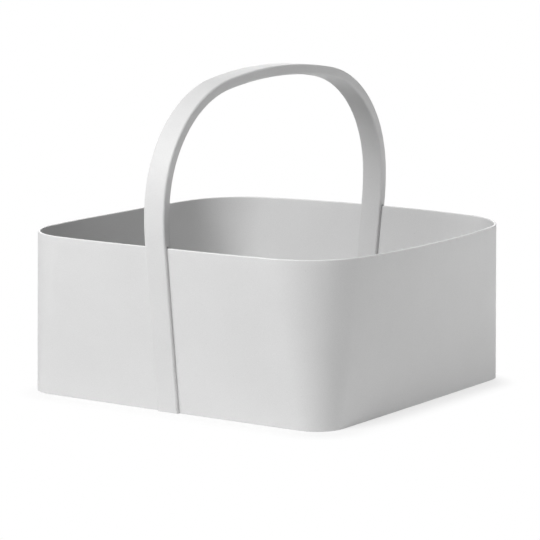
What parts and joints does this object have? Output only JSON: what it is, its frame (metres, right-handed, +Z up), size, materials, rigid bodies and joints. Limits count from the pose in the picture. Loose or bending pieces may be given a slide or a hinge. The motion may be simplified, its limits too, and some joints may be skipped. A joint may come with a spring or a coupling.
{
  "type": "storage basket",
  "caption": "Light grey flared basket of thin formed panel with a fixed arched handle, for storing and carrying small things",
  "frame": {"origin": "middle of the footprint, on the floor under the basket", "axes": "+Z up, +Y along the handle's span from the centred leg to the shifted leg, +X across the handle toward a plain wall"},
  "size_m": [0.3388, 0.3388, 0.282],
  "materials": {
    "wall_panel": "painted light grey, fine matt texture",
    "base_panel": "painted light grey, fine matt texture",
    "handle_paint": "painted light grey, matt"
  },
  "bodies": {
    "root": {"shell_left": "wall_panel", "shell_right": "wall_panel", "base_board": "base_panel", "handle_outer_ply": "handle_paint", "handle_core_ply": "handle_paint", "handle_inner_ply": "handle_paint"}
  },
  "joints": []
}
